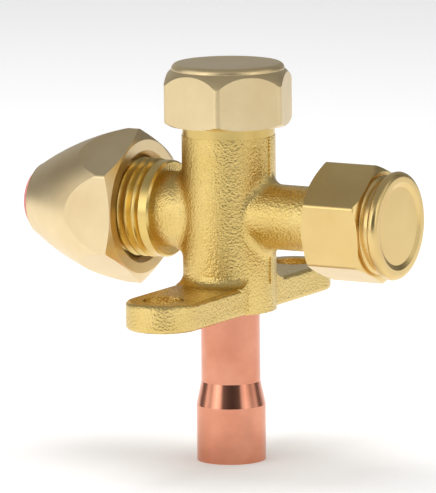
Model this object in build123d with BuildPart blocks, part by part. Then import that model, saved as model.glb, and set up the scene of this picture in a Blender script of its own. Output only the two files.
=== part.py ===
from build123d import *

import os

# A service valve for a split air conditioner's pipe: a forged brass body with a stem under a hexagon
# cap, a flare port with its nut and plastic plug, a service port with its valve core and cap, and a
# copper stub brazed into the bottom. All sizes are in millimetres and +Z is up. The origin is on the
# barrel's axis in the flange's bottom face. The flare port points along -X and the service port
# along +X, and the flange's two ears lie along Y.

os.makedirs("parts", exist_ok=True)

# --- clearances -----------------------------------------------------------------------------------
thread_clearance = 0.05
slide_clearance = 0.03
seat_clearance = 0.05
wrench_gap = 0.15

# --- barrel, flange and the neck under the stem cap -----------------------------------------------
barrel_radius = 7.5
forged_height = 28.1
band_radius = 7.4
band_top = 29.7
neck_radius = 7.0
neck_pitch = 1.0
neck_height = 36.3
flange_thickness = 4.5
ear_reach = 21.0
ear_radius = 6.0
ear_hole_radius = 3.3
forging_round = 0.7
web_round = 1.6
flash_width = 0.5
flash_height = 0.18

# --- passages, from the bottom up -----------------------------------------------------------------
pipe_socket_depth = 5.0
throat_radius = 3.4
seat_height = 9.5
chamber_radius = 4.3
port_height = 15.4
flare_bore_radius = 3.2

# --- stem -----------------------------------------------------------------------------------------
stem_travel = 4.0
stem_pitch = 1.0
stem_thread_radius = 5.0
stem_rod_radius = 2.4
stem_tip_radius = 2.9
gland_root_radius = 2.75
stem_ring_cord = 1.5
backup_thickness = 0.8
land_length = 2.3
ring_thickness = 0.8
ring_inner_radius = 4.2
ring_grip = 0.55
neck_lip = 0.9
key_across_flats = 5.0
key_depth = 4.2

# --- stem cap -------------------------------------------------------------------------------------
stem_cap_across_flats = 19.0
stem_cap_height = 9.8
stem_cap_seal_thickness = 1.0
stem_cap_seal_bore = 3.6
cap_top_radius = 8.3
cap_wall_round = 0.75
cap_shoulder_drop = 3.5
cap_corner_round = 1.2
cap_foot_chamfer = 1.3
cap_mouth_chamfer = 0.4
stem_cap_turn = -70.0

# --- flare port, nut and plug ---------------------------------------------------------------------
flare_neck_radius = 6.1
flare_neck_end = 10.6
collar_radius = 7.8
flare_root_round = 2.5
collar_length = 2.1
flare_thread_radius = 7.94
flare_pitch = 1.411
flare_port_end = 27.6
flare_nose_radius = 4.7
flare_nut_front = 15.7
flare_nut_across_flats = 22.0
flare_nut_nose_start = 18.0
flare_nut_nose_bow = 0.8
flare_nut_face_step = 0.2
flare_nut_countersink = 1.1
nut_corner_round = 0.8
flare_nut_end = 34.5
flare_nut_end_radius = 5.9
flare_nut_end_round = 0.5
flare_nut_hole_radius = 4.95
plug_skirt = 1.0
plug_bulge = 1.3
plug_spigot_radius = 3.0
plug_spigot_length = 3.0

# --- service port, valve core and cap -------------------------------------------------------------
service_branch_radius = 5.2
service_root_round = 2.0
service_thread_radius = 5.56
service_thread_start = 18.6
service_pitch = 1.27
service_port_end = 28.3
service_nose_radius = 4.0
service_drill_radius = 1.1
core_bore_radius = 2.7
core_bore_start = 14.0
service_cap_front = 17.6
service_cap_across_flats = 17.0
service_cap_hex_end = 27.8
service_cap_end = 31.0
service_cap_corner_round = 0.9
service_cap_rim_radius = 8.6
service_cap_groove_radius = 7.5
service_cap_groove_width = 1.1
service_cap_dish = 0.35
service_cap_turn = 7.5
service_seal_thickness = 1.2

core_body_length = 6.2
core_waist_radius = 1.8
core_waist_length = 2.4
core_seal_length = 1.6
core_spring_bore = 1.4
core_lip = 0.7
core_recess = 0.6
core_key_depth = 1.3
pin_recess = 0.2
pin_radius = 0.45
pin_travel = 1.0
pin_collar_radius = 1.2
pin_collar_length = 0.5
cup_radius = 1.9
cup_depth = 1.6
cup_seal_thickness = 0.7
spring_wire = 0.3
spring_turns = 7

# --- copper stub ----------------------------------------------------------------------------------
pipe_radius = 4.76
pipe_wall = 0.7
pipe_bottom = -24.5
swage_top = -11.7
swage_length = 3.8
socket_radius = 4.83
socket_wall = 0.74
braze_reach = 1.2
braze_hollow = 0.15

# --- places that follow from the sizes above ------------------------------------------------------
port_plane = Plane(origin=(0, 0, port_height), x_dir=(1, 0, 0), z_dir=(0, -1, 0))
port_axis = Axis((0, 0, port_height), (1, 0, 0))
gland_bottom = port_height + flare_bore_radius + stem_travel + 0.3
gland_top = gland_bottom + stem_ring_cord + backup_thickness + 0.1
guide_top = gland_top + 0.3
head_bottom = guide_top + stem_travel + 0.1
ring_top = neck_height - neck_lip
ring_bottom = ring_top - ring_thickness
head_top = ring_bottom - seat_clearance
stem_guide_radius = chamber_radius - slide_clearance
stem_bore_radius = stem_thread_radius + thread_clearance
cone_height = chamber_radius - throat_radius
stem_tip = seat_height - (throat_radius - stem_tip_radius) + seat_clearance + stem_travel
pipe_bore_radius = pipe_radius + slide_clearance
core_body_end = service_port_end - core_recess
core_body_start = core_body_end - core_body_length
cup_face = core_body_start - cup_seal_thickness


def thread_outline(first, last, radius, pitch):
    """Points along an axis, paired with radii, of a thread drawn as rings from first to last."""
    step = pitch if last > first else -pitch
    root = radius - 0.6 * pitch
    points = []
    for turn in range(int(abs(last - first) / pitch)):
        at = first + turn * step
        points += [(at + 0.06 * step, root), (at + 0.44 * step, radius)]
        points += [(at + 0.56 * step, radius), (at + 0.94 * step, root)]
    return points


# --- valve body -----------------------------------------------------------------------------------
# The ears' tops run up the barrel in a round web, which is the part of a ring inside the ears' outline.
with BuildPart() as ear_web:
    with BuildSketch():
        SlotCenterToCenter(2 * ear_reach, 2 * ear_radius - 0.02, rotation=90)
    extrude(amount=flange_thickness + web_round)
    with BuildSketch(Plane.XZ):
        with BuildLine():
            foot = (barrel_radius + web_round, flange_thickness)
            top = (barrel_radius, flange_thickness + web_round)
            Line((barrel_radius - 1, flange_thickness - 1), (barrel_radius + web_round, flange_thickness - 1))
            Line((barrel_radius + web_round, flange_thickness - 1), foot)
            RadiusArc(foot, top, web_round)
            Line(top, (barrel_radius - 1, flange_thickness + web_round))
            Line((barrel_radius - 1, flange_thickness + web_round), (barrel_radius - 1, flange_thickness - 1))
        make_face()
    revolve(axis=Axis.Z, mode=Mode.INTERSECT)

with BuildPart() as flange:
    with BuildSketch():
        SlotCenterToCenter(2 * ear_reach, 2 * ear_radius, rotation=90)
    extrude(amount=flange_thickness)
    fillet(edges().filter_by(Plane.XY), forging_round)

with BuildPart() as valve_body:
    # the forged cross: barrel and two branches, with rounds where they meet
    with BuildSketch():
        Circle(barrel_radius)
    extrude(amount=forged_height)
    with BuildSketch(Plane(origin=(0, 0, port_height), x_dir=(0, 1, 0), z_dir=(-1, 0, 0))):
        Circle(flare_neck_radius)
    extrude(amount=flare_neck_end)
    with BuildSketch(Plane(origin=(0, 0, port_height), x_dir=(0, 1, 0), z_dir=(1, 0, 0))):
        Circle(service_branch_radius)
    extrude(amount=service_thread_start)
    flat_or_round = (GeomType.LINE, GeomType.CIRCLE)
    roots = edges().filter_by(lambda e: e.geom_type not in flat_or_round)
    fillet(roots.filter_by(lambda e: e.center().X < 0), flare_root_round)
    roots = edges().filter_by(lambda e: e.geom_type not in flat_or_round)
    fillet(roots.filter_by(lambda e: 0 < e.center().X < barrel_radius), service_root_round)
    # flange with its two ears
    add(flange.part)
    add(ear_web.part)
    # machined band and threaded neck
    with BuildSketch(Plane.XZ):
        with BuildLine():
            neck = [(r, z) for z, r in thread_outline(band_top, neck_height, neck_radius, neck_pitch)]
            Polyline(
                (0, 0),
                (band_radius, 0),
                (band_radius, band_top),
                *neck,
                (neck_radius - 0.6 * neck_pitch, neck_height),
                (0, neck_height),
                close=True,
            )
        make_face()
    revolve(axis=Axis.Z)
    # flare port: turned collar, thread and a 45 degree nose
    with BuildSketch(port_plane):
        with BuildLine():
            nose_start = flare_port_end - (flare_thread_radius - 0.6 * flare_pitch - flare_nose_radius)
            collar_end = -flare_neck_end - collar_length
            Polyline(
                (-flare_neck_end, 0),
                (-flare_neck_end, collar_radius - 0.3),
                (-flare_neck_end - 0.3, collar_radius),
                (collar_end + 0.3, collar_radius),
                (collar_end, collar_radius - 0.3),
                *thread_outline(collar_end, -nose_start, flare_thread_radius, flare_pitch),
                (-nose_start, flare_thread_radius - 0.6 * flare_pitch),
                (-flare_port_end, flare_nose_radius),
                (-flare_port_end, 0),
                close=True,
            )
        make_face()
    revolve(axis=port_axis)
    # service port: thread and a 45 degree nose
    with BuildSketch(port_plane):
        with BuildLine():
            service_nose = service_port_end - (service_thread_radius - 0.6 * service_pitch - service_nose_radius)
            Polyline(
                (service_thread_start, 0),
                (service_thread_start, service_thread_radius - 0.6 * service_pitch),
                *thread_outline(service_thread_start, service_nose, service_thread_radius, service_pitch),
                (service_nose, service_thread_radius - 0.6 * service_pitch),
                (service_port_end, service_nose_radius),
                (service_port_end, 0),
                close=True,
            )
        make_face()
    revolve(axis=port_axis)
    # flash left where the two halves of the forging die met
    with BuildSketch(Plane.XY.offset(flange_thickness)):
        with Locations((barrel_radius / 2, 0), (-barrel_radius / 2, 0)):
            Rectangle(barrel_radius + 2 * flash_height, flash_width)
    extrude(amount=forged_height - flange_thickness)
    # pipe socket, throat, seat, chamber, stem thread and the retaining ring's groove
    with BuildSketch(Plane.XZ):
        with BuildLine():
            Polyline(
                (0, 0),
                (pipe_bore_radius + braze_reach, 0),
                (pipe_bore_radius, braze_reach),
                (pipe_bore_radius, pipe_socket_depth),
                (throat_radius, pipe_socket_depth),
                (throat_radius, seat_height),
                (chamber_radius, seat_height + cone_height),
                (chamber_radius, guide_top),
                (stem_bore_radius, guide_top),
                (stem_bore_radius, ring_bottom),
                (stem_bore_radius + ring_grip, ring_bottom),
                (stem_bore_radius + ring_grip, ring_top),
                (stem_bore_radius, ring_top),
                (stem_bore_radius, neck_height),
                (0, neck_height),
                close=True,
            )
        make_face()
    revolve(axis=Axis.Z, mode=Mode.SUBTRACT)
    # bores of the two side ports
    with BuildSketch(port_plane):
        with BuildLine():
            Polyline(
                (-flare_port_end, 0),
                (-flare_port_end, flare_bore_radius),
                (0, flare_bore_radius),
                (0, service_drill_radius),
                (core_bore_start, service_drill_radius),
                (core_bore_start, core_bore_radius),
                (service_port_end, core_bore_radius),
                (service_port_end, 0),
                close=True,
            )
        make_face()
    revolve(axis=port_axis, mode=Mode.SUBTRACT)
    # bolt holes of the ears
    with Locations((0, ear_reach, flange_thickness), (0, -ear_reach, flange_thickness)):
        Hole(ear_hole_radius, depth=flange_thickness)
valve_body.part.label = "valve_body"
export_step(valve_body.part, "parts/valve_body.step")

# --- stem and its seals ---------------------------------------------------------------------------
with BuildPart() as valve_stem:
    with BuildSketch(Plane.XZ):
        with BuildLine():
            tip_edge = stem_tip + cone_height + 0.1
            gland_floor = [
                (stem_guide_radius, gland_bottom),
                (gland_root_radius, gland_bottom),
                (gland_root_radius, gland_top),
                (stem_guide_radius, gland_top),
            ]
            Polyline(
                (0, stem_tip),
                (stem_tip_radius, stem_tip),
                (stem_tip_radius + cone_height + 0.1, tip_edge),
                (stem_tip_radius + cone_height + 0.1, tip_edge + 1),
                (stem_rod_radius, tip_edge + 2),
                (stem_rod_radius, gland_bottom - land_length),
                (stem_guide_radius, gland_bottom - land_length + 0.5),
                *gland_floor,
                (stem_guide_radius, head_bottom),
                *[(r, z) for z, r in thread_outline(head_bottom, head_top, stem_thread_radius, stem_pitch)],
                (stem_thread_radius - 0.6 * stem_pitch, head_top),
                (0, head_top),
                close=True,
            )
        make_face()
    revolve(axis=Axis.Z)
    with BuildSketch(Plane.XY.offset(head_top)):
        RegularPolygon(key_across_flats / 2, 6, major_radius=False)
    extrude(amount=-key_depth, mode=Mode.SUBTRACT)
valve_stem.part.label = "valve_stem"
export_step(valve_stem.part, "parts/valve_stem.step")

stem_ring_height = gland_bottom + stem_ring_cord / 2
with BuildPart() as stem_o_ring:
    with BuildSketch(Plane.XZ):
        with Locations((gland_root_radius + stem_ring_cord / 2, stem_ring_height)):
            Circle(stem_ring_cord / 2 - slide_clearance)
    revolve(axis=Axis.Z)
stem_o_ring.part.label = "stem_o_ring"
export_step(stem_o_ring.part, "parts/stem_o_ring.step")

with BuildPart() as stem_backup_ring:
    with BuildSketch(Plane.XY.offset(gland_bottom + stem_ring_cord + slide_clearance)):
        Circle(chamber_radius - slide_clearance)
        Circle(gland_root_radius + slide_clearance, mode=Mode.SUBTRACT)
    extrude(amount=backup_thickness)
stem_backup_ring.part.label = "stem_backup_ring"
export_step(stem_backup_ring.part, "parts/stem_backup_ring.step")

# The snap ring sits in its groove with its gap towards -Y.
with BuildPart() as stem_retaining_ring:
    with BuildSketch(Plane.XY.offset(ring_bottom)):
        Circle(stem_bore_radius + ring_grip)
        Circle(ring_inner_radius, mode=Mode.SUBTRACT)
        with Locations((0, -stem_bore_radius)):
            Rectangle(2.4, 2 * stem_bore_radius - ring_inner_radius, mode=Mode.SUBTRACT)
    extrude(amount=ring_thickness)
stem_retaining_ring.part.label = "stem_retaining_ring"
export_step(stem_retaining_ring.part, "parts/stem_retaining_ring.step")

# --- stem cap and its sealing washer --------------------------------------------------------------
cap_bottom = band_top + wrench_gap
cap_top = cap_bottom + stem_cap_height
cap_ceiling = neck_height + stem_cap_seal_thickness
with BuildPart() as stem_cap:
    with BuildSketch(Plane.XY.offset(cap_bottom)):
        RegularPolygon(stem_cap_across_flats / 2, 6, major_radius=False, rotation=stem_cap_turn)
        fillet(vertices(), cap_corner_round)
    extrude(amount=stem_cap_height)
    # the turned outline cuts the top into a crown and rounds the corners' feet
    with BuildSketch(Plane.XZ):
        with BuildLine():
            corner = stem_cap_across_flats / 3**0.5
            foot = (corner - cap_foot_chamfer, cap_bottom)
            crown = (cap_top_radius, cap_top)
            wall = (cap_top_radius + cap_wall_round, cap_top - cap_wall_round * 1.3)
            Line((0, cap_bottom), foot)
            Line(foot, (corner, cap_bottom + cap_foot_chamfer * 0.6))
            Line((corner, cap_bottom + cap_foot_chamfer * 0.6), (corner, cap_top - cap_shoulder_drop))
            ThreePointArc(
                (corner, cap_top - cap_shoulder_drop),
                ((corner + wall[0]) / 2 + 0.1, (cap_top - cap_shoulder_drop + wall[1]) / 2 + 0.15),
                wall,
            )
            RadiusArc(wall, crown, -1.3 * cap_wall_round)
            Line(crown, (0, cap_top))
            Line((0, cap_top), (0, cap_bottom))
        make_face()
    revolve(axis=Axis.Z, mode=Mode.INTERSECT)
    with BuildSketch(Plane.XY.offset(cap_bottom)):
        Circle(neck_radius + thread_clearance)
    extrude(amount=cap_ceiling - cap_bottom, mode=Mode.SUBTRACT)
    chamfer(edges().filter_by(GeomType.CIRCLE).sort_by(Axis.Z)[0], cap_mouth_chamfer)
stem_cap.part.label = "stem_cap"
export_step(stem_cap.part, "parts/stem_cap.step")

with BuildPart() as stem_cap_seal:
    with BuildSketch(Plane.XY.offset(neck_height)):
        Circle(neck_radius - 0.6 * neck_pitch)
        Circle(stem_cap_seal_bore, mode=Mode.SUBTRACT)
    extrude(amount=stem_cap_seal_thickness)
stem_cap_seal.part.label = "stem_cap_seal"
export_step(stem_cap_seal.part, "parts/stem_cap_seal.step")

# --- flare nut and its plug -----------------------------------------------------------------------
# The port's nose, the plug's skirt and the nut's seat are three parallel 45 degree cones.
nose_root = flare_thread_radius - 0.6 * flare_pitch
nose_start = flare_port_end - (nose_root - flare_nose_radius)
skirt_gap = seat_clearance * 2**0.5
seat_shift = skirt_gap + plug_skirt * 2**0.5
with BuildPart() as flare_nut:
    with BuildSketch(Plane(origin=(-flare_nut_front, 0, port_height), x_dir=(0, 0, 1), z_dir=(-1, 0, 0))):
        RegularPolygon(flare_nut_across_flats / 2, 6, major_radius=False)
        fillet(vertices(), nut_corner_round)
    extrude(amount=flare_nut_end - flare_nut_front)
    # turned outline: a chamfered front and a long, slightly bowed nose
    with BuildSketch(port_plane):
        with BuildLine():
            corner = flare_nut_across_flats / 3**0.5
            rim = flare_nut_across_flats / 2 - flare_nut_face_step
            front = (-flare_nut_front, rim)
            side = (-flare_nut_front - (corner - rim) * 0.5, corner)
            nose = (-flare_nut_nose_start, corner)
            tip = (-flare_nut_end + flare_nut_end_round, flare_nut_end_radius + flare_nut_end_round * 0.5)
            middle_x = (nose[0] + tip[0]) / 2 - flare_nut_nose_bow * 0.45
            middle_r = (nose[1] + tip[1]) / 2 + flare_nut_nose_bow * 0.9
            Line((-flare_nut_front, 0), front)
            Line(front, side)
            Line(side, nose)
            ThreePointArc(nose, (middle_x, middle_r), tip)
            Line(tip, (-flare_nut_end, flare_nut_end_radius))
            Line((-flare_nut_end, flare_nut_end_radius), (-flare_nut_end, 0))
            Line((-flare_nut_end, 0), (-flare_nut_front, 0))
        make_face()
    revolve(axis=port_axis, mode=Mode.INTERSECT)
    # thread bore with its countersink, the seat cone and the tube hole
    with BuildSketch(port_plane):
        with BuildLine():
            bore = flare_thread_radius + thread_clearance
            seat_start = nose_start + seat_shift - (bore - nose_root)
            seat_end = seat_start + bore - flare_nut_hole_radius
            Polyline(
                (-flare_nut_front, 0),
                (-flare_nut_front, bore + flare_nut_countersink),
                (-flare_nut_front - flare_nut_countersink, bore),
                (-seat_start, bore),
                (-seat_end, flare_nut_hole_radius),
                (-flare_nut_end, flare_nut_hole_radius),
                (-flare_nut_end, 0),
                close=True,
            )
        make_face()
    revolve(axis=port_axis, mode=Mode.SUBTRACT)
flare_nut.part.label = "flare_nut"
export_step(flare_nut.part, "parts/flare_nut.step")

with BuildPart() as flare_plug:
    with BuildSketch(port_plane):
        with BuildLine():
            plug_radius = flare_nut_hole_radius - slide_clearance
            skirt_radius = nose_root - 0.3
            inner_start = nose_start + 0.3 + skirt_gap
            outer_start = inner_start + plug_skirt * 2**0.5
            bulge_foot = flare_nut_end + 0.2
            Line((-inner_start, skirt_radius), (-outer_start, skirt_radius))
            Line((-outer_start, skirt_radius), (-outer_start - skirt_radius + plug_radius, plug_radius))
            Line((-outer_start - skirt_radius + plug_radius, plug_radius), (-bulge_foot, plug_radius))
            Bezier(
                (-bulge_foot, plug_radius),
                (-bulge_foot - plug_bulge, plug_radius * 0.8),
                (-bulge_foot - plug_bulge, 0),
            )
            inner_end = inner_start + skirt_radius - plug_spigot_radius
            Line((-bulge_foot - plug_bulge, 0), (-inner_end + plug_spigot_length, 0))
            Line((-inner_end + plug_spigot_length, 0), (-inner_end + plug_spigot_length, plug_spigot_radius))
            Line((-inner_end + plug_spigot_length, plug_spigot_radius), (-inner_end, plug_spigot_radius))
            Line((-inner_end, plug_spigot_radius), (-inner_start, skirt_radius))
        make_face()
    revolve(axis=port_axis)
flare_plug.part.label = "flare_plug"
export_step(flare_plug.part, "parts/flare_plug.step")

# --- service cap and its seal ---------------------------------------------------------------------
cap_inner_end = service_port_end + service_seal_thickness
with BuildPart() as service_cap:
    with BuildSketch(Plane(origin=(service_cap_front, 0, port_height), x_dir=(0, 1, 0), z_dir=(1, 0, 0))):
        RegularPolygon(
            service_cap_across_flats / 2, 6, major_radius=False, rotation=30 + service_cap_turn
        )
        fillet(vertices(), service_cap_corner_round)
    extrude(amount=service_cap_end - service_cap_front)
    # turned outline: chamfered mouth, hexagon, groove, round rim and a dished end
    with BuildSketch(port_plane):
        with BuildLine():
            corner = service_cap_across_flats / 3**0.5
            mouth = (service_cap_front, service_cap_across_flats / 2 - 0.3)
            groove_start = service_cap_hex_end + 0.35
            groove_end = groove_start + service_cap_groove_width
            rim_round = (service_cap_end - groove_end) / 2
            Line((service_cap_front, 0), mouth)
            Line(mouth, (service_cap_front + 0.9, corner))
            Line((service_cap_front + 0.9, corner), (service_cap_hex_end - 0.9, corner))
            ThreePointArc(
                (service_cap_hex_end - 0.9, corner),
                (service_cap_hex_end - 0.2, corner - 0.7),
                (service_cap_hex_end, service_cap_groove_radius + 0.4),
            )
            Line((service_cap_hex_end, service_cap_groove_radius + 0.4), (groove_start, service_cap_groove_radius))
            Line((groove_start, service_cap_groove_radius), (groove_end, service_cap_groove_radius))
            ThreePointArc(
                (groove_end, service_cap_groove_radius),
                (groove_end + rim_round * 0.9, service_cap_rim_radius),
                (service_cap_end, service_cap_rim_radius - 0.9),
            )
            dish_edge = service_cap_rim_radius - 1.6
            Line((service_cap_end, service_cap_rim_radius - 0.9), (service_cap_end, dish_edge))
            Line((service_cap_end, dish_edge), (service_cap_end - service_cap_dish, dish_edge - 0.8))
            Line((service_cap_end - service_cap_dish, dish_edge - 0.8), (service_cap_end - service_cap_dish, 0))
            Line((service_cap_end - service_cap_dish, 0), (service_cap_front, 0))
        make_face()
    revolve(axis=port_axis, mode=Mode.INTERSECT)
    with BuildSketch(port_plane):
        with BuildLine():
            bore = service_thread_radius + thread_clearance
            Polyline(
                (service_cap_front, 0),
                (service_cap_front, bore + 0.6),
                (service_cap_front + 0.6, bore),
                (cap_inner_end, bore),
                (cap_inner_end, 0),
                close=True,
            )
        make_face()
    revolve(axis=port_axis, mode=Mode.SUBTRACT)
service_cap.part.label = "service_cap"
export_step(service_cap.part, "parts/service_cap.step")

service_end_plane = Plane(origin=(service_port_end, 0, port_height), x_dir=(0, 1, 0), z_dir=(1, 0, 0))
with BuildPart() as service_cap_seal:
    with BuildSketch(service_end_plane):
        Circle(service_thread_radius - 0.2)
        Circle(pin_collar_radius, mode=Mode.SUBTRACT)
    extrude(amount=service_seal_thickness)
service_cap_seal.part.label = "service_cap_seal"
export_step(service_cap_seal.part, "parts/service_cap_seal.step")

# --- valve core in the service port ---------------------------------------------------------------
core_radius = core_bore_radius - slide_clearance
spring_floor = core_body_start + core_waist_length
spring_ceiling = core_body_end - core_lip
with BuildPart() as core_body:
    with BuildSketch(port_plane):
        with BuildLine():
            Polyline(
                (core_body_start, pin_radius + slide_clearance),
                (core_body_start, core_waist_radius),
                (spring_floor, core_waist_radius),
                (spring_floor, core_radius),
                (core_body_end, core_radius),
                (core_body_end, core_spring_bore),
                (spring_floor, core_spring_bore),
                (spring_floor, pin_radius + slide_clearance),
                close=True,
            )
        make_face()
    revolve(axis=port_axis)
    # two notches in the outer end take the core key
    with BuildSketch(Plane(origin=(core_body_end, 0, port_height), x_dir=(0, 1, 0), z_dir=(1, 0, 0))):
        Rectangle(1.1, 3 * core_radius)
    extrude(amount=-core_key_depth, mode=Mode.SUBTRACT)
core_body.part.label = "core_body"
export_step(core_body.part, "parts/core_body.step")

with BuildPart() as core_body_seal:
    with BuildSketch(Plane(origin=(spring_floor, 0, port_height), x_dir=(0, 1, 0), z_dir=(1, 0, 0))):
        Circle(core_radius)
        Circle(core_waist_radius, mode=Mode.SUBTRACT)
    extrude(amount=-core_seal_length)
core_body_seal.part.label = "core_body_seal"
export_step(core_body_seal.part, "parts/core_body_seal.step")

# The pin is one turned piece with the collar that its spring pushes on.
pin_end = service_port_end - pin_recess
collar_start = spring_ceiling - pin_collar_length
with BuildPart() as core_pin:
    with BuildSketch(port_plane):
        with BuildLine():
            Polyline(
                (cup_face - cup_depth, 0),
                (cup_face - cup_depth, pin_radius),
                (collar_start, pin_radius),
                (collar_start, pin_collar_radius),
                (spring_ceiling, pin_collar_radius),
                (spring_ceiling, pin_radius),
                (pin_end - 0.2, pin_radius),
                (pin_end, pin_radius - 0.2),
                (pin_end, 0),
                close=True,
            )
        make_face()
    revolve(axis=port_axis)
core_pin.part.label = "core_pin"
export_step(core_pin.part, "parts/core_pin.step")

with BuildPart() as core_cup:
    with BuildSketch(port_plane):
        with BuildLine():
            Polyline(
                (cup_face - cup_depth, pin_radius),
                (cup_face - cup_depth, cup_radius - 0.5),
                (cup_face - cup_depth + 0.5, cup_radius),
                (cup_face, cup_radius),
                (cup_face, pin_radius),
                close=True,
            )
        make_face()
    revolve(axis=port_axis)
core_cup.part.label = "core_cup"
export_step(core_cup.part, "parts/core_cup.step")

with BuildPart() as core_cup_seal:
    with BuildSketch(Plane(origin=(cup_face, 0, port_height), x_dir=(0, 1, 0), z_dir=(1, 0, 0))):
        Circle(cup_radius)
        Circle(pin_radius, mode=Mode.SUBTRACT)
    extrude(amount=cup_seal_thickness)
core_cup_seal.part.label = "core_cup_seal"
export_step(core_cup_seal.part, "parts/core_cup_seal.step")

# coil spring round the pin, from the core's inner floor to the pin's collar
spring_radius = (pin_radius + core_spring_bore) / 2
spring_start = spring_floor + spring_wire / 2
spring_end = collar_start - spring_wire / 2
with BuildPart() as core_spring:
    with BuildLine() as coil:
        Helix(
            pitch=(spring_end - spring_start) / spring_turns,
            height=spring_end - spring_start,
            radius=spring_radius,
            center=(spring_start, 0, port_height),
            direction=(1, 0, 0),
        )
    with BuildSketch(Plane(origin=coil.line @ 0, z_dir=coil.line % 0)):
        RegularPolygon(spring_wire / 2, 6)
    sweep(path=coil.line, is_frenet=True)
core_spring.part.label = "core_spring"
export_step(core_spring.part, "parts/core_spring.step")

# --- copper stub and its brazed joint -------------------------------------------------------------
with BuildPart() as copper_pipe:
    with BuildSketch(Plane.XZ):
        with BuildLine():
            swage_bottom = swage_top - swage_length
            pipe_bore = pipe_radius - pipe_wall
            Polyline(
                (pipe_bore, pipe_socket_depth),
                (pipe_radius, pipe_socket_depth),
                (pipe_radius, swage_top),
                (socket_radius + socket_wall, swage_bottom),
                (socket_radius + socket_wall, pipe_bottom),
                (socket_radius, pipe_bottom),
                (socket_radius, swage_bottom),
                (pipe_bore, swage_top),
                close=True,
            )
        make_face()
    revolve(axis=Axis.Z)
copper_pipe.part.label = "copper_pipe"
export_step(copper_pipe.part, "parts/copper_pipe.step")

with BuildPart() as braze_fillet:
    with BuildSketch(Plane.XZ):
        with BuildLine():
            inner = (pipe_radius, 0)
            outer = (pipe_bore_radius + braze_reach, 0)
            Line(inner, (pipe_radius, braze_reach))
            Line((pipe_radius, braze_reach), (pipe_bore_radius, braze_reach))
            Line((pipe_bore_radius, braze_reach), outer)
            SagittaArc(outer, inner, -braze_hollow)
        make_face()
    revolve(axis=Axis.Z)
braze_fillet.part.label = "braze_fillet"
export_step(braze_fillet.part, "parts/braze_fillet.step")
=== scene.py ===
# %% [markdown]
# # Dressing a refrigerant service valve
#
# The valve is a brass forging with turned ends, three threaded closures and a copper stub. Its solids
# come ready made, at their real size, from the frame. What is left to Blender is finish: blasted
# brass, satin brass, drawn copper and soft plastic, each with its own grain, under a studio's light.

# %% Load the frame
import math

import bmesh
import bpy
from mathutils import Matrix, Vector


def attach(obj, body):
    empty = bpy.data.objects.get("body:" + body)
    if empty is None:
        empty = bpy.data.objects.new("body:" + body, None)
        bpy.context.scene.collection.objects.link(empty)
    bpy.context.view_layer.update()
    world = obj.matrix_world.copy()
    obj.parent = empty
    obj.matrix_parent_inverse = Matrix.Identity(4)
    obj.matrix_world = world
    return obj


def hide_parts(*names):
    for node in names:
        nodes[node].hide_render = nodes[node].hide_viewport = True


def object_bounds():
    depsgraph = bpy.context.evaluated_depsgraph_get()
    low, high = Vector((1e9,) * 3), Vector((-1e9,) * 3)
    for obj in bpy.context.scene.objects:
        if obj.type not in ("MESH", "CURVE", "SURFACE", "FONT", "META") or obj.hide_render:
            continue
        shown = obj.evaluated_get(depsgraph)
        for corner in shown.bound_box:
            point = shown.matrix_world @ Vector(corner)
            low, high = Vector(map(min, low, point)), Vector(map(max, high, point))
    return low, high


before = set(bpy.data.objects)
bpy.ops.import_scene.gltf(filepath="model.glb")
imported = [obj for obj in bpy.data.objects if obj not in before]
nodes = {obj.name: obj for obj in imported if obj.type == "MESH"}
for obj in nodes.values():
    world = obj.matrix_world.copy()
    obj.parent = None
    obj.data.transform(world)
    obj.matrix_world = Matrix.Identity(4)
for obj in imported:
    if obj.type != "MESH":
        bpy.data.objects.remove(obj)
cad_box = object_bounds()
MM = 0.001
print("pieces in the frame:", len(nodes))

# %% [markdown]
# A finish is a material, and a material is a small network of nodes. Wiring nodes by hand is wordy, so
# one helper adds a node with its settings and another joins two sockets. Everything after this reads
# as a list of what the finish does.

# %% Helpers for shader nodes


def add_node(tree, kind, at=(0, 0), **settings):
    """Add a node of this kind, set its properties and its plain inputs, and return it."""
    node = tree.nodes.new(kind)
    node.location = at
    for name, value in settings.items():
        if hasattr(node, name):
            setattr(node, name, value)
        else:
            node.inputs[name.replace("_", " ")].default_value = value
    return node


def join(tree, source, socket, target, target_socket):
    """Link an output of one node to an input of another."""
    tree.links.new(source.outputs[socket], target.inputs[target_socket])


def new_group(name, inputs, outputs):
    """Start a shader node group with named value inputs and named outputs."""
    tree = bpy.data.node_groups.new(name, "ShaderNodeTree")
    tree.interface.new_socket("Vector", in_out="INPUT", socket_type="NodeSocketVector")
    for label, value in inputs.items():
        socket = tree.interface.new_socket(label, in_out="INPUT", socket_type="NodeSocketFloat")
        socket.default_value = value
    for label in outputs:
        tree.interface.new_socket(label, in_out="OUTPUT", socket_type="NodeSocketFloat")
    entry = add_node(tree, "NodeGroupInput", (-900, 0))
    leave = add_node(tree, "NodeGroupOutput", (700, 0))
    return tree, entry, leave


# %% [markdown]
# ## Effects that several finishes share
#
# A forging is blasted with grit, which leaves small round pits of uneven size. Two layers of noise at
# different scales give that: fine pits, and a slow drift of tone like handling and oxide. The group
# puts out a height for the bump and a mask for the colour, and knows nothing of any one material.

# %% Shared effect: grit-blasted grain
SPECK_SHARE = 0.55


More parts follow.
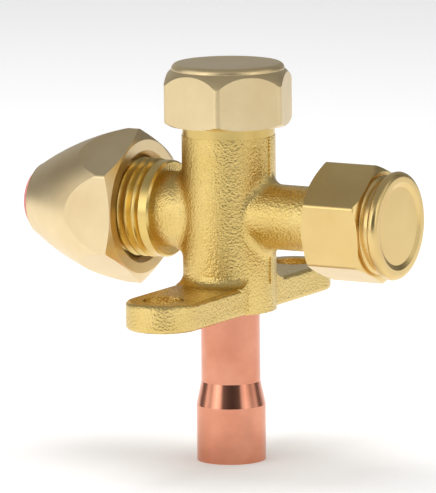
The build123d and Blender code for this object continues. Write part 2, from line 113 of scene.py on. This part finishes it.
def make_grain_group():
    """Height and mask of a blasted surface. Scale is in grains per metre."""
    tree, entry, leave = new_group("blasted_grain", {"Scale": 2500.0, "Drift": 120.0}, ["Height", "Mask"])
    pits = add_node(tree, "ShaderNodeTexNoise", (-650, 200), Detail=3.0, Roughness=0.62)
    specks = add_node(tree, "ShaderNodeTexVoronoi", (-650, -80), feature="F1")
    drift = add_node(tree, "ShaderNodeTexNoise", (-650, -380), Detail=4.0, Roughness=0.55)
    mix = add_node(tree, "ShaderNodeMath", (-350, 120), operation="MULTIPLY_ADD")
    mix.inputs[1].default_value = SPECK_SHARE
    for texture in (pits, specks):
        join(tree, entry, "Vector", texture, "Vector")
        join(tree, entry, "Scale", texture, "Scale")
    join(tree, entry, "Vector", drift, "Vector")
    join(tree, entry, "Drift", drift, "Scale")
    join(tree, specks, "Distance", mix, 0)
    join(tree, pits, "Fac", mix, 2)
    join(tree, mix, "Value", leave, "Height")
    join(tree, drift, "Fac", leave, "Mask")
    return tree


grain_group = make_grain_group()
print("made group:", grain_group.name)

# %% [markdown]
# A turned surface carries the tool's feed marks: fine rings square to the axis that it was turned
# about. Rings depend only on the place along that axis, so stretching a noise until it is flat in the
# two other directions draws them, uneven as real ones are.

# %% Shared effect: turning marks
FLATTEN = 0.004


def make_turning_group():
    """Rings along the first axis of the vector given, as a height."""
    tree, entry, leave = new_group("turning_marks", {"Scale": 6000.0}, ["Height"])
    squash = add_node(tree, "ShaderNodeVectorMath", (-650, 100), operation="MULTIPLY")
    squash.inputs[1].default_value = (1.0, FLATTEN, FLATTEN)
    rings = add_node(tree, "ShaderNodeTexNoise", (-400, 100), Detail=2.0, Roughness=0.5)
    join(tree, entry, "Vector", squash, 0)
    join(tree, squash, "Vector", rings, "Vector")
    join(tree, entry, "Scale", rings, "Scale")
    join(tree, rings, "Fac", leave, "Height")
    return tree


turning_group = make_turning_group()
print("made group:", turning_group.name)

# %% [markdown]
# ## Brass
#
# Brass is a metal, so its colour is the colour of its reflection. One function makes every brass here
# from the same parts: two tones mixed by the slow drift, a roughness that follows it, and a bump from
# the grain with some turning marks over it. The closures and the body differ only in the values.

# %% Brass in its several finishes


def place_group(tree, group, at, **values):
    """Add a shared effect to a material, with its inputs set, and return its node."""
    node = add_node(tree, "ShaderNodeGroup", at)
    node.node_tree = group
    for label, value in values.items():
        node.inputs[label].default_value = value
    return node


def make_metal(name, bright, deep, rough, grain, axis=None, feed=0.0, grain_scale=2500.0, drift=110.0):
    """A metal with two tones, a (low, high) roughness, a grain depth and optional turning marks."""
    material = bpy.data.materials.new(name)
    material.use_nodes = True
    tree = material.node_tree
    shader = tree.nodes["Principled BSDF"]
    shader.inputs["Metallic"].default_value = 1.0
    place = add_node(tree, "ShaderNodeTexCoord", (-1300, 0))
    blast = place_group(tree, grain_group, (-1050, 0), Scale=grain_scale, Drift=drift)
    join(tree, place, "Object", blast, "Vector")
    tones = add_node(tree, "ShaderNodeValToRGB", (-750, 250))
    tones.color_ramp.elements[0].position = 0.32
    tones.color_ramp.elements[0].color = (*deep, 1.0)
    tones.color_ramp.elements[1].position = 0.68
    tones.color_ramp.elements[1].color = (*bright, 1.0)
    join(tree, blast, "Mask", tones, "Fac")
    join(tree, tones, "Color", shader, "Base Color")
    spread = add_node(tree, "ShaderNodeMapRange", (-750, -50))
    spread.inputs["To Min"].default_value = rough[0]
    spread.inputs["To Max"].default_value = rough[1]
    join(tree, blast, "Mask", spread, "Value")
    join(tree, spread, "Result", shader, "Roughness")
    bump = add_node(tree, "ShaderNodeBump", (-350, -250), Strength=1.0, Distance=grain)
    join(tree, blast, "Height", bump, "Height")
    last = bump
    if axis is not None:
        turn = add_node(tree, "ShaderNodeMapping", (-1050, -350))
        turn.inputs["Rotation"].default_value = axis
        marks = place_group(tree, turning_group, (-750, -350))
        join(tree, place, "Object", turn, "Vector")
        join(tree, turn, "Vector", marks, "Vector")
        rings = add_node(tree, "ShaderNodeBump", (-150, -350), Strength=1.0, Distance=feed)
        join(tree, marks, "Height", rings, "Height")
        join(tree, bump, "Normal", rings, "Normal")
        last = rings
    join(tree, last, "Normal", shader, "Normal")
    return material


ALONG_X = (0.0, 0.0, 0.0)
ALONG_Z = (0.0, math.radians(90), 0.0)
forged_brass = make_metal(
    "forged_brass", (0.84, 0.63, 0.24), (0.74, 0.53, 0.17), (0.22, 0.30), 0.11 * MM, grain_scale=2600.0
)
cap_brass = make_metal(
    "cap_brass", (0.88, 0.72, 0.43), (0.80, 0.62, 0.34), (0.30, 0.40), 0.022 * MM, grain_scale=3600.0
)
nut_brass = make_metal(
    "nut_brass", (0.88, 0.71, 0.43), (0.79, 0.61, 0.34), (0.28, 0.38), 0.018 * MM, grain_scale=3600.0
)
service_brass = make_metal(
    "service_brass", (0.83, 0.62, 0.27), (0.76, 0.54, 0.22), (0.20, 0.30), 0.006 * MM, ALONG_X, 0.004 * MM
)
turned_brass = make_metal(
    "turned_brass", (0.82, 0.62, 0.27), (0.76, 0.55, 0.22), (0.22, 0.30), 0.004 * MM, ALONG_Z, 0.006 * MM
)
copper = make_metal(
    "copper", (0.78, 0.35, 0.23), (0.66, 0.26, 0.16), (0.10, 0.17), 0.003 * MM, ALONG_Z, 0.003 * MM, drift=160.0
)
braze = make_metal("braze", (0.62, 0.42, 0.20), (0.30, 0.22, 0.16), (0.35, 0.6), 0.03 * MM, drift=500.0)
steel = make_metal("steel", (0.62, 0.61, 0.58), (0.50, 0.49, 0.46), (0.25, 0.35), 0.002 * MM)
metals = (forged_brass, cap_brass, nut_brass, service_brass, turned_brass, copper, braze, steel)
print("metals made:", len(metals))

# %% [markdown]
# The body is one piece with two finishes. Its barrel and flange are as forged, and its threaded ends
# were turned afterwards, so there the grit's pits are gone. A mask from the place on the piece fades
# the pits out beyond the height of the neck and past each side port's shoulder.

# %% Smooth the body's turned ends
NECK_START = 28.1 * MM
FLARE_START = -10.6 * MM
SERVICE_START = 18.6 * MM


def smooth_turned_ends(material):
    """Take the pits off wherever the body was turned, and leave them on the forging."""
    tree = material.node_tree
    place = add_node(tree, "ShaderNodeTexCoord", (-1300, -700))
    axes = add_node(tree, "ShaderNodeSeparateXYZ", (-1100, -700))
    join(tree, place, "Object", axes, "Vector")
    tests = (("Z", "GREATER_THAN", NECK_START), ("X", "LESS_THAN", FLARE_START), ("X", "GREATER_THAN", SERVICE_START))
    turned = None
    for step, (axis, operation, limit) in enumerate(tests):
        test = add_node(tree, "ShaderNodeMath", (-900, -600 - 160 * step), operation=operation)
        test.inputs[1].default_value = limit
        join(tree, axes, axis, test, 0)
        if turned is None:
            turned = test
            continue
        either = add_node(tree, "ShaderNodeMath", (-700, -600 - 160 * step), operation="MAXIMUM")
        join(tree, turned, "Value", either, 0)
        join(tree, test, "Value", either, 1)
        turned = either
    forged = add_node(tree, "ShaderNodeMath", (-500, -700), operation="SUBTRACT")
    forged.inputs[0].default_value = 1.0
    join(tree, turned, "Value", forged, 1)
    bump = next(node for node in tree.nodes if node.bl_idname == "ShaderNodeBump")
    join(tree, forged, "Value", bump, "Strength")


smooth_turned_ends(forged_brass)

# %% [markdown]
# ## Plastic and rubber
#
# The plug is soft pink plastic, moulded against a fine matt tool: light enters it a little, so it
# looks fuller than paint. Rubber and the white seals are plain by comparison, and mostly out of sight.

# %% Soft materials


def make_soft(name, light, dark, rough, grain, subsurface=0.0):
    """A moulded material with two close tones, a roughness and a grain depth."""
    material = bpy.data.materials.new(name)
    material.use_nodes = True
    tree = material.node_tree
    shader = tree.nodes["Principled BSDF"]
    shader.inputs["Roughness"].default_value = rough
    shader.inputs["Subsurface Weight"].default_value = subsurface
    shader.inputs["Subsurface Scale"].default_value = 1.0 * MM
    place = add_node(tree, "ShaderNodeTexCoord", (-1300, 0))
    blast = place_group(tree, grain_group, (-1050, 0), Scale=1800.0, Drift=260.0)
    join(tree, place, "Object", blast, "Vector")
    tones = add_node(tree, "ShaderNodeValToRGB", (-750, 250))
    tones.color_ramp.elements[0].position = 0.35
    tones.color_ramp.elements[0].color = (*dark, 1.0)
    tones.color_ramp.elements[1].position = 0.65
    tones.color_ramp.elements[1].color = (*light, 1.0)
    join(tree, blast, "Mask", tones, "Fac")
    join(tree, tones, "Color", shader, "Base Color")
    bump = add_node(tree, "ShaderNodeBump", (-350, -250), Strength=1.0, Distance=grain)
    join(tree, blast, "Height", bump, "Height")
    join(tree, bump, "Normal", shader, "Normal")
    return material


pink_plastic = make_soft("pink_plastic", (0.92, 0.33, 0.30), (0.88, 0.28, 0.26), 0.45, 0.01 * MM, 0.15)
black_rubber = make_soft("black_rubber", (0.03, 0.03, 0.03), (0.02, 0.02, 0.02), 0.6, 0.01 * MM)
seal_plastic = make_soft("seal_plastic", (0.85, 0.84, 0.80), (0.80, 0.79, 0.74), 0.4, 0.006 * MM)

# %% [markdown]
# ## Putting each finish on its pieces
#
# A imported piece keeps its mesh, and only its material changes. The plug is the one exception, and it
# comes in the next cell.

# %% Assign the finishes
FINISHES = {
    "valve_body": forged_brass,
    "stem_cap": cap_brass,
    "flare_nut": nut_brass,
    "service_cap": service_brass,
    "valve_stem": turned_brass,
    "core_body": turned_brass,
    "core_pin": turned_brass,
    "core_cup": turned_brass,
    "copper_pipe": copper,
    "braze_fillet": braze,
    "core_spring": steel,
    "stem_retaining_ring": steel,
    "flare_plug": pink_plastic,
    "stem_o_ring": black_rubber,
    "service_cap_seal": black_rubber,
    "core_cup_seal": black_rubber,
    "stem_cap_seal": seal_plastic,
    "stem_backup_ring": seal_plastic,
    "core_body_seal": seal_plastic,
}
for name, finish in FINISHES.items():
    mesh = nodes[name].data
    mesh.materials.clear()
    mesh.materials.append(finish)
print("finishes assigned:", len(FINISHES), "of", len(nodes))

# %% [markdown]
# Soft plastic swells past the hole that it is pushed into. The solid's tip is a shallow dome, so a
# copy of the plug stands in for it here: its skin keeps each point's distance from the axis and moves
# along the axis only, onto a fuller dome that is as tall as the solid's.

# %% The plug's swollen tip
NUT_END = -34.5 * MM
PORT_HEIGHT = 15.4 * MM
FULLNESS = 5.0
MERGE = 0.001 * MM

solid = nodes["flare_plug"]
plug_tip = min((solid.matrix_world @ vert.co).x for vert in solid.data.vertices)
plug = bpy.data.objects.new("flare_plug_skin", solid.data.copy())
bpy.context.scene.collection.objects.link(plug)
plug.matrix_world = solid.matrix_world.copy()
plug_bm = bmesh.new()
plug_bm.from_mesh(plug.data)
bmesh.ops.remove_doubles(plug_bm, verts=plug_bm.verts, dist=MERGE)
to_world = plug.matrix_world
from_world = to_world.inverted()
crown = [v for v in plug_bm.verts if (to_world @ v.co).x < NUT_END]
print("plug tip at", round(plug_tip / MM, 2), "mm, crown points", len(crown))
if crown:
    rim = max(math.hypot((to_world @ v.co).y, (to_world @ v.co).z - PORT_HEIGHT) for v in crown)
    for vert in crown:
        point = to_world @ vert.co
        share = min(1.0, math.hypot(point.y, point.z - PORT_HEIGHT) / rim)
        point.x = NUT_END + (plug_tip - NUT_END) * (1.0 - share**FULLNESS) ** (1.0 / FULLNESS)
        vert.co = from_world @ point
    bmesh.ops.recalc_face_normals(plug_bm, faces=plug_bm.faces)
plug_bm.to_mesh(plug.data)
plug_bm.free()
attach(plug, "flare_plug_body")
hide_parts("flare_plug")

# %% [markdown]
# ## The camera
#
# The viewpoint is a long lens a little above the valve and to its right, so that all three closures
# show. A camera looks along its own -Z, so its matrix is built from the three directions it needs.

# %% Camera
AZIMUTH = math.radians(29.9)
ELEVATION = math.radians(9.2)
DISTANCE = 950 * MM
LENS = 434
AIM_HEIGHT = 10 * MM
AIM_LEFT = 1.85 * MM
ROLL = math.radians(-0.6)
towards_camera = Vector((
    math.sin(AZIMUTH) * math.cos(ELEVATION),
    -math.cos(AZIMUTH) * math.cos(ELEVATION),
    math.sin(ELEVATION),
))
right = Vector((math.cos(AZIMUTH), math.sin(AZIMUTH), 0.0))
up = towards_camera.cross(right)
aim = Vector((0, 0, AIM_HEIGHT)) - right * AIM_LEFT
camera_data = bpy.data.cameras.new("camera")
camera_data.lens = LENS
camera_data.sensor_width = 36
camera = bpy.data.objects.new("camera", camera_data)
bpy.context.scene.collection.objects.link(camera)
turn = Matrix((right, up, towards_camera)).transposed().to_4x4()
camera.matrix_world = Matrix.Translation(aim + towards_camera * DISTANCE) @ turn @ Matrix.Rotation(ROLL, 4, "Z")
bpy.context.scene.camera = camera
print("camera at", [round(v, 3) for v in camera.matrix_world.translation])

# %% [markdown]
# ## Floor and light
#
# Metal shows what is around it, so the surroundings matter more than the lamps. The world holds two
# wide bright bands, to the left and right of the viewer, with a darker gap between them where the
# viewer stands: that gap is the dark stripe down the middle of every polished tube.

# %% Floor
FLOOR_REACH = 3.0
PAPER = (0.93, 0.93, 0.93, 1.0)

floor_mesh = bpy.data.meshes.new("floor")
floor_bm = bmesh.new()
bmesh.ops.create_grid(floor_bm, x_segments=1, y_segments=1, size=FLOOR_REACH)
floor_height = cad_box[0][2]
bmesh.ops.translate(floor_bm, verts=floor_bm.verts, vec=(0, 0, floor_height))
floor_bm.to_mesh(floor_mesh)
floor_bm.free()
floor = bpy.data.objects.new("floor", floor_mesh)
bpy.context.scene.collection.objects.link(floor)
floor_material = bpy.data.materials.new("floor_paper")
floor_material.use_nodes = True
floor_tree = floor_material.node_tree
floor_shader = floor_tree.nodes["Principled BSDF"]
floor_shader.inputs["Base Color"].default_value = PAPER
floor_shader.inputs["Roughness"].default_value = 0.9
# The paper glows a little for every ray that looks at it, straight or by way of metal, so it is white
# in the picture and in the reflections alike, and it still takes the valve's shadow.
FLOOR_GLOW = 0.2
floor_path = add_node(floor_tree, "ShaderNodeLightPath", (-900, 0))
looked_at = None
for step, ray in enumerate(("Is Camera Ray", "Is Glossy Ray", "Is Transmission Ray")):
    glow = add_node(floor_tree, "ShaderNodeMath", (-650 + 200 * step, 0), operation="MAXIMUM")
    join(floor_tree, floor_path, ray, glow, 0)
    if looked_at is None:
        glow.inputs[1].default_value = 0.0
    else:
        join(floor_tree, looked_at, "Value", glow, 1)
    looked_at = glow
strength = add_node(floor_tree, "ShaderNodeMath", (0, 0), operation="MULTIPLY")
strength.inputs[1].default_value = FLOOR_GLOW
join(floor_tree, looked_at, "Value", strength, 0)
floor_shader.inputs["Emission Color"].default_value = (1.0, 1.0, 1.0, 1.0)
join(floor_tree, strength, "Value", floor_shader, "Emission Strength")
floor_mesh.materials.append(floor_material)

# %% World
# Each band is a place on the ramp, from behind the valve at 0 to the viewer at 1, and its brightness.
BANDS = (
    (0.0, 0.40), (0.15, 0.30), (0.25, 0.16), (0.36, 0.26), (0.46, 1.10),
    (0.62, 0.70), (0.80, 1.75), (0.88, 1.15), (0.92, 0.20), (1.0, 0.06),
)
LEFT_GAIN = 1.15
RIGHT_GAIN = 0.85
CEILING = 0.32

world = bpy.data.worlds.new("studio")
bpy.context.scene.world = world
world.use_nodes = True
tree = world.node_tree
background = tree.nodes["Background"]
place = add_node(tree, "ShaderNodeTexCoord", (-1500, 0))


def along(direction, at):
    """How far each ray points along a level direction, from -1 to 1."""
    node = add_node(tree, "ShaderNodeVectorMath", at, operation="DOT_PRODUCT")
    node.inputs[1].default_value = direction
    join(tree, place, "Generated", node, 0)
    return node


facing = along((math.sin(AZIMUTH), -math.cos(AZIMUTH), 0.0), (-1250, 100))
sideways = along((math.cos(AZIMUTH), math.sin(AZIMUTH), 0.0), (-1250, -150))
height = along((0.0, 0.0, 1.0), (-1250, -400))
remap = add_node(tree, "ShaderNodeMapRange", (-1000, 100))
remap.inputs["From Min"].default_value = -1.0
join(tree, facing, "Value", remap, "Value")
bands = add_node(tree, "ShaderNodeValToRGB", (-800, 100))
ramp = bands.color_ramp
while len(ramp.elements) < len(BANDS):
    ramp.elements.new(0.5)
for element, (position, level) in zip(ramp.elements, BANDS):
    element.position = position
for element, (position, level) in zip(ramp.elements, BANDS):
    element.color = (level, level, level, 1.0)
join(tree, remap, "Result", bands, "Fac")
gain = add_node(tree, "ShaderNodeMapRange", (-1000, -150))
for label, value in (("From Min", -0.2), ("From Max", 0.2), ("To Min", LEFT_GAIN), ("To Max", RIGHT_GAIN)):
    gain.inputs[label].default_value = value
join(tree, sideways, "Value", gain, "Value")
sided = add_node(tree, "ShaderNodeMath", (-500, 50), operation="MULTIPLY")
join(tree, bands, "Color", sided, 0)
join(tree, gain, "Result", sided, 1)
overhead = add_node(tree, "ShaderNodeMapRange", (-1000, -400), interpolation_type="SMOOTHSTEP")
for label, value in (("From Min", 0.45), ("From Max", 0.75)):
    overhead.inputs[label].default_value = value
join(tree, height, "Value", overhead, "Value")
fade = add_node(tree, "ShaderNodeMix", (-300, 0), data_type="FLOAT")
fade.inputs[3].default_value = CEILING
join(tree, overhead, "Result", fade, 0)
tree.links.new(sided.outputs[0], fade.inputs[2])
tree.links.new(fade.outputs[0], background.inputs["Color"])
print("world bands:", len(BANDS))

# %% [markdown]
# A wide lamp overhead gives the floor its soft shadow. It is hidden from mirror-like rays, because the
# world already draws every reflection that the metal needs.

# %% Lamp
lamp_data = bpy.data.lights.new("softbox", "AREA")
lamp_data.shape = "RECTANGLE"
lamp_data.size = 500 * MM
lamp_data.size_y = 400 * MM
lamp_data.energy = 2.6
lamp = bpy.data.objects.new("softbox", lamp_data)
bpy.context.scene.collection.objects.link(lamp)
lamp.location = (-120 * MM, 60 * MM, 560 * MM)
lamp.visible_glossy = False
print("lamp energy:", lamp_data.energy)

# %% Colour management
bpy.context.scene.view_settings.view_transform = "Standard"
